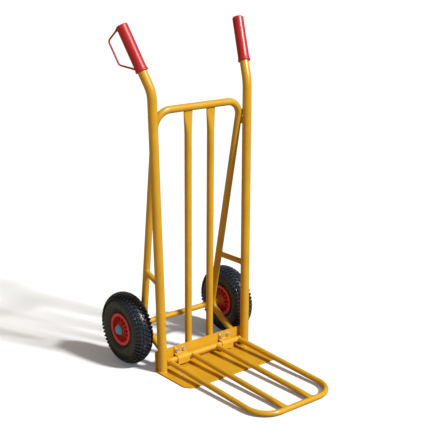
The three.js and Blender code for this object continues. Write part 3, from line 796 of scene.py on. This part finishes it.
def hexagon(radius, centre, axis, height, chamfer):
    """A hexagon bolt head or nut with turned corners at its outer end."""
    side = Z_AXIS
    up = axis.cross(side)
    verts = []
    segments = 24
    for along in (0.0, height - chamfer, height):
        for k in range(segments):
            angle = 2 * math.pi * k / segments
            local = (angle % (math.pi / 3)) - math.pi / 6
            flat = radius * math.cos(math.pi / 6) / math.cos(local)
            spoke = side * math.cos(angle) + up * math.sin(angle)
            size = flat if along < height else min(flat, radius * math.cos(math.pi / 6)) * 0.97
            verts.append(centre + spoke * size + axis * along)
    faces = []
    for r in range(2):
        for k in range(segments):
            a = r * segments + k
            b = r * segments + (k + 1) % segments
            faces.append((a, b, b + segments, a + segments))
    faces.append(tuple(reversed(range(segments))))
    faces.append(tuple(range(2 * segments, 3 * segments)))
    return verts, faces


BOLT_R = 4 * MM
THREAD_DEPTH = 0.45 * MM
THREAD_TURNS = 10
CHAMFER = 0.9 * MM               # of a bolt head or nut, and the thickness of its washer face


def make_fasteners(name):
    for place in ("inner", "outer"):
        bolt = f"{name}_{place}_hinge_bolt"
        low, high = corners_of(bolt)
        centre = (low + high) / 2
        head_back = corners_of(f"{name}_hinge_clip")[1].y - CLIP_SHEET
        head = Vector((centre.x, head_back - 0.2 * MM, centre.z))
        radius = (high.z - low.z) / 2
        face_r = radius * 1.04
        face = [(0.0, 0.0), (face_r, 0.0), (face_r, CHAMFER), (0.0, CHAMFER)]
        washer = revolve(face, head, -Y_AXIS, 32)
        hexed = hexagon(radius, head - Y_AXIS * CHAMFER, -Y_AXIS, head.y - low.y - CHAMFER, CHAMFER)
        thread = []
        for k in range(THREAD_TURNS * 2 + 1):
            along = (high.y - head.y) * k / (THREAD_TURNS * 2)
            thread.append((BOLT_R - (THREAD_DEPTH if k % 2 else 0.0), along))
        thread = [(0.0, 0.0)] + thread + [(0.0, high.y - head.y)]
        shank = revolve(thread, head, Y_AXIS, 24)
        piece(f"{name}_{place}_bolt", [washer, hexed, shank], ZINC, "frame", [bolt], smooth=30)
        nut = f"{name}_{place}_hinge_nut"
        low, high = corners_of(nut)
        start = Vector((centre.x, low.y, centre.z))
        body = hexagon(radius, start, Y_AXIS, high.y - low.y, CHAMFER)
        piece(f"{name}_{place}_nut", [body], ZINC, "frame", [nut], smooth=30)


# ---------- folding nose ----------
HINGE_BEAD_R = 1.1 * MM          # small, so that the folded nose clears the uprights
NOSE_FLAT_WIDE = 1.25
NOSE_FLAT_THIN = 0.50
NOSE_FLAT_SHARE = 0.15


def make_nose():
    half = corners_of("hinge_tube")[1].x
    bore = HINGE_R - WALL
    rim = [(0.0, 8 * MM), (bore, 8 * MM), (bore, 0.3 * MM), (bore + 0.3 * MM, 0.0)]
    rim += [(HINGE_R - 0.5 * MM, 0.0), (HINGE_R, 0.5 * MM)]
    profile = rim + [(HINGE_R, 2 * half - 0.5 * MM)]
    profile += [(radius, 2 * half - along) for radius, along in reversed(rim[:-1])]
    tube = revolve(profile, hinge_middle - X_AXIS * half, X_AXIS, 48)
    piece("nose_hinge_tube", [tube], YELLOW, "nose", ["hinge_tube"])

    low, high = corners_of("nose_hoop")
    front_z = low.z + NOSE_R
    front_y = low.y + NOSE_R
    arm_x = high.x - NOSE_R
    at_hinge = lambda x: Vector((x, hinge_middle.y, hinge_middle.z))
    at_front = lambda x: Vector((x, front_y, front_z))
    corners = [at_hinge(-arm_x), at_front(-arm_x), at_front(arm_x), at_hinge(arm_x)]
    points = bent_line(corners, [NOSE_CORNER_R, NOSE_CORNER_R], 4.0, LONG_STEP)
    hoop = sweep(points, round_section(NOSE_R), 36)
    piece("nose_hoop_tube", [hoop], YELLOW, "nose", ["nose_hoop"])

    pivot = Line(hinge_middle - X_AXIS, hinge_middle + X_AXIS, HINGE_R)
    beads = []
    for side in (-1, 1):
        arm = Line(at_hinge(side * arm_x), at_front(side * arm_x), NOSE_R)
        beads.append(weld_bead(saddle(arm, pivot, arm.b), HINGE_BEAD_R, side))
    for name, side in SIDES:
        node = f"{name}_nose_bar"
        x = middle_of(node).x
        start = at_hinge(x)
        end = at_front(x)
        length = (end - start).length
        stop = start.lerp(end, (length - NOSE_R + 1.0 * MM) / length)
        section = flattening(NOSE_R, NOSE_FLAT_WIDE, NOSE_FLAT_THIN, NOSE_FLAT_SHARE)
        bar = sweep(spread([start, stop], 0.01), section, 32, first_side=X_AXIS)
        piece(f"{name}_nose_tube", [bar], YELLOW, "nose", [node])
        axis = Line(start, end, NOSE_R)
        beads.append(weld_bead(saddle(axis, pivot, end), HINGE_BEAD_R, side))
        for over in (-1, 1):
            spot = stop + Vector((-10 * MM, 0.2 * MM, over * 5.0 * MM))
            run = spread([spot, spot + X_AXIS * 20 * MM], 2 * MM)
            beads.append(sweep(run, rippled(1.8 * MM, over), 10))
    piece("nose_welds", beads, YELLOW, "nose")


# ---------- axle and spacers ----------
def make_axle():
    low, high = corners_of("axle")
    length = high.x - low.x
    half = [(0.0, 0.0), (AXLE_R - MM, 0.0), (AXLE_R, MM)]
    profile = half + [(radius, length - along) for radius, along in reversed(half)]
    bar = revolve(profile, Vector((low.x, axle_middle.y, axle_middle.z)), X_AXIS, 40)
    beads = []
    for _, side in SIDES:
        leg_x = slice_centre("rear_hoop", 2, axle_middle.z + 60 * MM, lambda p: p.x * side > 0).x
        ring_x = abs(leg_x) - HOOP_R - 0.5 * MM
        ring = []
        for k in range(36):
            angle = 2 * math.pi * k / 36
            spot = Vector((side * ring_x, 0, 0))
            spot += Vector((0, math.cos(angle), math.sin(angle))) * (AXLE_R + 0.6 * MM)
            ring.append(Vector((0, axle_middle.y, axle_middle.z)) + spot)
        beads.append(weld_bead(ring, 1.8 * MM, side))
    piece("axle_bar", [bar] + beads, YELLOW, "frame", ["axle"])


RUNNING_FIT = 0.4 * MM           # between the axle and what turns on it
RING_EDGE = 0.4 * MM             # size of the broken edges


def ring_profile(inner, outer, length, edge):
    return [
        (inner, edge), (inner + edge, 0.0), (outer - edge, 0.0), (outer, edge),
        (outer, length - edge), (outer - edge, length), (inner + edge, length), (inner, length - edge),
        (inner, edge),
    ]


def make_ring(node, name, material, body):
    """A plain ring round the axle: a washer, a bearing or a spacer."""
    low, high = corners_of(node)
    outer = (high.z - low.z) / 2
    centre = Vector((low.x, axle_middle.y, axle_middle.z))
    profile = ring_profile(AXLE_R + RUNNING_FIT, outer, high.x - low.x, RING_EDGE)
    skin = revolve(profile, centre, X_AXIS, 48)
    piece(name, [skin], material, body, [node], smooth=30)


# ---------- wheels ----------
WHEEL_R = corners_of("left_tyre")[1].z - axle_middle.z
TYRE_R = 41.5 * MM
TREAD_HEIGHT = 6.0 * MM
TREAD_ROWS = 5
TREAD_AROUND = 50
TREAD_REACH = 34                 # degrees round the tyre's section to the outermost row
SHOULDER_MIDDLE = 56             # degrees, and so is the next
SHOULDER_HALF = 12
SHOULDER_LONG = 4.4 * MM         # half a shoulder lug's length along the rolling direction
BLOCK_ACROSS = 8.2 * MM          # half sizes of a block's foot, corner to corner
BLOCK_ALONG = 6.4 * MM
BLOCK_SINK = 0.6 * MM            # how far a block's foot lies inside the tyre
RIM_FLANGE_R = (corners_of("left_rim")[1].z - corners_of("left_rim")[0].z) / 2
HUB_HALF = (corners_of("left_rim")[1].x - corners_of("left_rim")[0].x) / 2
RIM_HALF = 30 * MM
HUB_R = 21 * MM
HUB_BORE_R = 14.9 * MM
RIM_FLOOR_R = 47 * MM
DISC_HALF = 5 * MM
RIB_COUNT = 12
RIB_HALF = 1.6 * MM


class Wheel:
    """Frame of one wheel: outward runs along the axle, away from the truck."""

    def __init__(self, name, side):
        self.name = name
        self.side = side
        self.body = f"{name}_wheel"
        self.outward = X_AXIS * side
        self.centre = Vector((middle_of(f"{name}_tyre").x, axle_middle.y, axle_middle.z))

    def place(self, radius, angle, along):
        spoke = Y_AXIS * math.cos(angle) + Z_AXIS * math.sin(angle)
        return self.centre + spoke * radius + self.outward * along


def carcass(angle, lift=0.0):
    """(radius, along) on the tyre's skin; angle is 0 at the tread's middle, in radians."""
    middle_r = WHEEL_R - TYRE_R
    size = TYRE_R - TREAD_HEIGHT + lift
    return middle_r + size * math.cos(angle), size * math.sin(angle)


def make_tyre(wheel):
    bead_edge = [(58.9 * MM, 26.4 * MM), (60.5 * MM, 27.4 * MM), (62.0 * MM, 28.5 * MM)]
    side_wall = [carcass(math.radians(d)) for d in range(132, 60, -4)]
    ridge = [carcass(math.radians(d), 0.8 * MM) for d in (60, 58)]
    crown = [carcass(math.radians(d)) for d in range(55, -1, -5)]
    upper = bead_edge + side_wall + ridge + crown
    lower = [(r, -a) for r, a in reversed(upper[:-1])]
    inner = [(54 * MM, -24 * MM), (54 * MM, 24 * MM)]
    profile = upper + lower + inner + [upper[0]]
    skins = [revolve(profile, wheel.centre, wheel.outward, 120, start=Y_AXIS)]
    for row in range(TREAD_ROWS):
        row_angle = math.radians(TREAD_REACH * (2 * row / (TREAD_ROWS - 1) - 1))
        for k in range(TREAD_AROUND):
            shift = 0.5 if row % 2 else 0.0
            turn = 2 * math.pi * (k + shift) / TREAD_AROUND
            skins.append(tread_block(wheel, row_angle, turn))
    for side in (-1, 1):
        for k in range(TREAD_AROUND):
            skins.append(shoulder_block(wheel, side, 2 * math.pi * k / TREAD_AROUND))
    piece(f"{wheel.name}_tyre_rubber", skins, TYRE, wheel.body, [f"{wheel.name}_tyre"],
          smooth=28)


def tread_block(wheel, row_angle, turn):
    """A small diamond block, wider at its foot."""
    verts = []
    for lift, size in ((-BLOCK_SINK, 1.0), (TREAD_HEIGHT - 0.5 * MM, 0.80), (TREAD_HEIGHT, 0.70)):
        for corner in range(4):
            angle = math.pi / 2 * corner
            across = BLOCK_ACROSS * size * math.cos(angle)
            along = BLOCK_ALONG * size * math.sin(angle)
            radius, beside = carcass(row_angle + across / TYRE_R, lift)
            verts.append(wheel.place(radius, turn + along / WHEEL_R, beside))
    return verts, block_faces(3)


def shoulder_block(wheel, side, turn):
    """A longer lug on the tyre's shoulder, which gives the toothed outline."""
    verts = []
    levels = ((-BLOCK_SINK, 1.0), (TREAD_HEIGHT - 0.9 * MM, 0.85), (TREAD_HEIGHT - 0.3 * MM, 0.74))
    for lift, size in levels:
        for dx, dy in ((-1, -1), (1, -0.8), (1, 0.8), (-1, 1)):
            radius, beside = carcass(math.radians(SHOULDER_MIDDLE + dx * size * SHOULDER_HALF), lift)
            around = dy * size * SHOULDER_LONG / (WHEEL_R * 0.86)
            verts.append(wheel.place(radius, turn + around, side * beside))
    return verts, block_faces(3)


def block_faces(levels):
    faces = [(3, 2, 1, 0)]
    for level in range(levels - 1):
        for k in range(4):
            a = level * 4 + k
            b = level * 4 + (k + 1) % 4
            faces.append((a, b, b + 4, a + 4))
    top = (levels - 1) * 4
    faces.append((top, top + 1, top + 2, top + 3))
    return faces


def make_rim(wheel):
    flange = RIM_FLANGE_R
    outer = [(RIM_FLOOR_R, 6 * MM), (RIM_FLOOR_R, RIM_HALF - 1.2 * MM)]
    outer += arc(RIM_FLOOR_R + 1.2 * MM, RIM_HALF - 1.2 * MM, 1.2 * MM, 180, 90, 4)
    outer += arc(flange - 2 * MM, RIM_HALF - 1.6 * MM, 2 * MM, 90, -30, 6)
    outer += [(52.5 * MM, RIM_HALF - 4.5 * MM), (51 * MM, 20 * MM), (50 * MM, 0.0)]
    profile = outer + mirrored(outer[:-1])
    profile = profile + [profile[0]]
    skins = [revolve(profile, wheel.centre, wheel.outward, 96, start=Y_AXIS)]
    disc = ring_profile(HUB_R - MM, RIM_FLOOR_R + MM, 2 * DISC_HALF, 0.3 * MM)
    disc_foot = wheel.centre - wheel.outward * DISC_HALF
    skins.append(revolve(disc, disc_foot, wheel.outward, 96, start=Y_AXIS))
    hub = [(HUB_BORE_R, 0.0), (HUB_R - 1.5 * MM, 0.0), (HUB_R, 1.5 * MM)]
    hub += [(HUB_R + 0.8 * MM, HUB_HALF), (HUB_R, 2 * HUB_HALF - 1.5 * MM)]
    hub += [(HUB_R - 1.5 * MM, 2 * HUB_HALF), (HUB_BORE_R, 2 * HUB_HALF), (HUB_BORE_R, 0.0)]
    hub_foot = wheel.centre - wheel.outward * HUB_HALF
    skins.append(revolve(hub, hub_foot, wheel.outward, 64, start=Y_AXIS))
    for k in range(RIB_COUNT):
        skins.append(rib(wheel, 2 * math.pi * (k + 0.5) / RIB_COUNT))
    piece(f"{wheel.name}_rim_plastic", skins, RIM_RED, wheel.body, [f"{wheel.name}_rim"],
          smooth=30)


def rib(wheel, turn):
    """A radial web on both sides of the disc, lower at its outer end."""
    verts = []
    stations = ((HUB_R - MM, 26 * MM), (30 * MM, 23 * MM), (38 * MM, 20 * MM), (RIM_FLOOR_R + MM, 19 * MM))
    for radius, reach in stations:
        for along in (-reach, reach):
            for beside in (-RIB_HALF, RIB_HALF):
                verts.append(wheel.place(radius, turn + beside / radius, along))
    faces = []
    for i in range(3):
        a = i * 4
        b = a + 4
        faces += [(a, b, b + 1, a + 1), (a + 2, a + 3, b + 3, b + 2)]
        faces += [(a, a + 2, b + 2, b), (a + 1, b + 1, b + 3, a + 3)]
    faces += [(0, 1, 3, 2), (12, 14, 15, 13)]
    return verts, faces


def make_cap(wheel):
    node = f"{wheel.name}_axle_cap"
    low, high = corners_of(node)
    outer = (high.z - low.z) / 2
    depth = high.x - low.x
    inner_x = low.x if wheel.side > 0 else high.x
    base = Vector((inner_x, axle_middle.y, axle_middle.z))
    profile = [(AXLE_R + 0.3 * MM, 0.0), (outer - 0.6 * MM, 0.0), (outer, 0.6 * MM), (outer, 2.6 * MM)]
    profile += [(outer - 0.5 * MM, 3.4 * MM), (outer - 2.2 * MM, 4.0 * MM)]
    profile += [(outer - 3.0 * MM, 5.4 * MM), (outer - 4.6 * MM, 8.2 * MM), (outer - 7.5 * MM, 10.4 * MM)]
    profile += [(outer - 12 * MM, 11.6 * MM), (0.0, depth)]
    skin = revolve(profile, base, wheel.outward, 64)
    piece(f"{wheel.name}_cap", [skin], CAP_BLUE, wheel.body, [node], smooth=50)


def make_valve(wheel):
    node = f"{wheel.name}_valve_stem"
    low, high = corners_of(node)
    middle = (low + high) / 2
    base = Vector((middle.x, middle.y, high.z))
    length = high.z - low.z
    foot_r = 4 * MM
    neck_r = 3.2 * MM
    profile = [(0.0, 0.0), (foot_r, 0.0), (foot_r, length * 0.45), (neck_r, length * 0.5)]
    for k in range(8):
        profile.append((neck_r - (0.3 * MM if k % 2 else 0), length * (0.52 + 0.05 * k)))
    profile += [(2.8 * MM, length), (0.0, length)]
    piece(f"{wheel.name}_valve", [revolve(profile, base, -Z_AXIS, 24)], TUBE_RUBBER, wheel.body, [node],
          smooth=30)


def paint_hidden(wheel):
    """The inner tube can't be seen: its CAD solid stays, with a rubber finish."""
    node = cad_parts[f"{wheel.name}_inner_tube"]
    node.data.materials.clear()
    node.data.materials.append(TUBE_RUBBER)


# ---------- stage, light and camera ----------
FLOOR_REACH = 60.0
FLOOR_GAP = 0.5 * MM             # keeps the blade and the tyres just clear of the floor


def make_stage():
    mesh = bpy.data.meshes.new("floor")
    reach = FLOOR_REACH
    corners = [(-reach, -reach, 0), (reach, -reach, 0), (reach, reach, 0), (-reach, reach, 0)]
    mesh.from_pydata(corners, [], [(0, 1, 2, 3)])
    floor = bpy.data.objects.new("floor", mesh)
    floor.location.z = min(cad_box[0][2], 0.0) - FLOOR_GAP
    material, tree, shader = new_material("floor_white")
    shades = [(0.3, (0.93, 0.945, 0.97)), (0.7, (0.95, 0.965, 0.985))]
    seen = ramp(tree, noise(tree, 3.0, 2.0).outputs["Fac"], shades)
    tree.links.new(seen.outputs["Color"], shader.inputs["Base Color"])
    shader.inputs["Roughness"].default_value = 0.9
    shader.inputs["Specular IOR Level"].default_value = 0.0
    shader.inputs["Emission Color"].default_value = (0.40, 0.62, 1.0, 1)
    shader.inputs["Emission Strength"].default_value = 0.09
    # The floor throws less light back on the truck than it shows, as a floor well below it would.
    dim = tree.nodes.new("ShaderNodeBsdfDiffuse")
    dim.inputs["Color"].default_value = (0.34, 0.29, 0.22, 1)
    path = tree.nodes.new("ShaderNodeLightPath")
    mix = tree.nodes.new("ShaderNodeMixShader")
    tree.links.new(path.outputs["Is Camera Ray"], mix.inputs["Fac"])
    tree.links.new(dim.outputs["BSDF"], mix.inputs[1])
    tree.links.new(shader.outputs["BSDF"], mix.inputs[2])
    tree.links.new(mix.outputs["Shader"], tree.nodes["Material Output"].inputs["Surface"])
    mesh.materials.append(material)
    scene.collection.objects.link(floor)


CAMERA_PLACE = Vector((-2.0429, -2.4619, 1.4613))
CAMERA_AZIMUTH = math.radians(-39.132)
CAMERA_ELEVATION = math.radians(15.735)
CAMERA_ROLL = math.radians(-0.189)
SENSOR_WIDTH = 36                # mm, like the lens length
LENS_LENGTH = 82.594884


def make_camera():
    a, e = CAMERA_AZIMUTH, CAMERA_ELEVATION
    back = Vector((math.sin(a) * math.cos(e), -math.cos(a) * math.cos(e), math.sin(e)))
    right = Vector((math.cos(a), math.sin(a), 0))
    up = back.cross(right)
    c, s = math.cos(CAMERA_ROLL), math.sin(CAMERA_ROLL)
    right, up = right * c + up * s, up * c - right * s
    data = bpy.data.cameras.new("camera")
    data.sensor_width = SENSOR_WIDTH
    data.lens = LENS_LENGTH
    data.clip_end = 60
    camera = bpy.data.objects.new("camera", data)
    turn = Matrix((right, up, back)).transposed().to_4x4()
    camera.matrix_world = Matrix.Translation(CAMERA_PLACE) @ turn
    scene.collection.objects.link(camera)
    scene.camera = camera
    return right, back


def area_light(name, target, towards, distance, size, power, colour=(1, 1, 1), shines=True):
    data = bpy.data.lights.new(name, "AREA")
    data.energy = power
    data.size = size
    data.color = colour
    light = bpy.data.objects.new(name, data)
    place = target + towards.normalized() * distance
    light.location = place
    light.rotation_euler = (place - target).to_track_quat("Z", "Y").to_euler()
    light.visible_glossy = shines
    scene.collection.objects.link(light)


KEY_TURN = 61                    # degrees to the right of the camera
KEY_HEIGHT = 43                  # degrees above the floor
KEY_STRENGTH = 4.1
KEY_SOFTNESS = 7                 # degrees across
FILL = 0.18
WARM_FILL = (1.0, 0.80, 0.56)


def make_lights(right, back):
    """A key light from the right, a soft one above and a weak warm fill, with a white background."""
    target = Vector((0, 0, 0.5))
    level_back = Vector((back.x, back.y, 0)).normalized()
    turn = math.radians(KEY_TURN)
    level = right * math.sin(turn) + level_back * math.cos(turn)
    towards = level.normalized() + Z_AXIS * math.tan(math.radians(KEY_HEIGHT))
    data = bpy.data.lights.new("key", "SUN")
    data.energy = KEY_STRENGTH
    data.angle = math.radians(KEY_SOFTNESS)
    data.color = (1.0, 0.985, 0.96)
    key = bpy.data.objects.new("key", data)
    key.rotation_euler = towards.to_track_quat("Z", "Y").to_euler()
    scene.collection.objects.link(key)
    area_light("soft_top", target, Z_AXIS + right * 0.5 + level_back * 0.3, 3.0, 1.6, 10)
    from_left = level_back * 0.6 - right * 0.8 + Z_AXIS * 0.3
    area_light("left_fill", target, from_left, 4.0, 2.4, 22, WARM_FILL, shines=False)
    world = bpy.data.worlds.new("studio")
    world.use_nodes = True
    tree = world.node_tree
    seen = tree.nodes["Background"]
    seen.inputs["Color"].default_value = (1, 1, 1, 1)
    seen.inputs["Strength"].default_value = 1.0
    fill = tree.nodes.new("ShaderNodeBackground")
    fill.inputs["Color"].default_value = (1.0, 0.80, 0.50, 1)
    fill.inputs["Strength"].default_value = FILL
    path = tree.nodes.new("ShaderNodeLightPath")
    mix = tree.nodes.new("ShaderNodeMixShader")
    tree.links.new(path.outputs["Is Camera Ray"], mix.inputs["Fac"])
    tree.links.new(fill.outputs["Background"], mix.inputs[1])
    tree.links.new(seen.outputs["Background"], mix.inputs[2])
    tree.links.new(mix.outputs["Shader"], tree.nodes["World Output"].inputs["Surface"])
    scene.world = world
    scene.view_settings.view_transform = "Standard"
    scene.view_settings.look = "None"


# ---------- build ----------
camera_axes = make_camera()
make_lights(*camera_axes)
make_stage()
make_rear_hoop()
make_toe_plate()
make_nose()
make_axle()
for side_name, side_sign in SIDES:
    make_upright(side_name, side_sign)
    make_centre_bar(side_name)
    make_strut(side_name, side_sign)
    make_grip(side_name)
    make_clip(side_name)
    make_fasteners(side_name)
    make_ring(f"{side_name}_axle_spacer", f"{side_name}_spacer", YELLOW, "frame")
    one = Wheel(side_name, side_sign)
    make_tyre(one)
    make_rim(one)
    make_cap(one)
    make_valve(one)
    paint_hidden(one)
    for part, look, finish in (("washer", ZINC, "zinc"), ("bearing", STEEL, "bearing_steel")):
        for place in ("outer", "inner"):
            node_name = f"{side_name}_{place}_{part}"
            make_ring(node_name, f"{node_name}_ring", look, one.body)
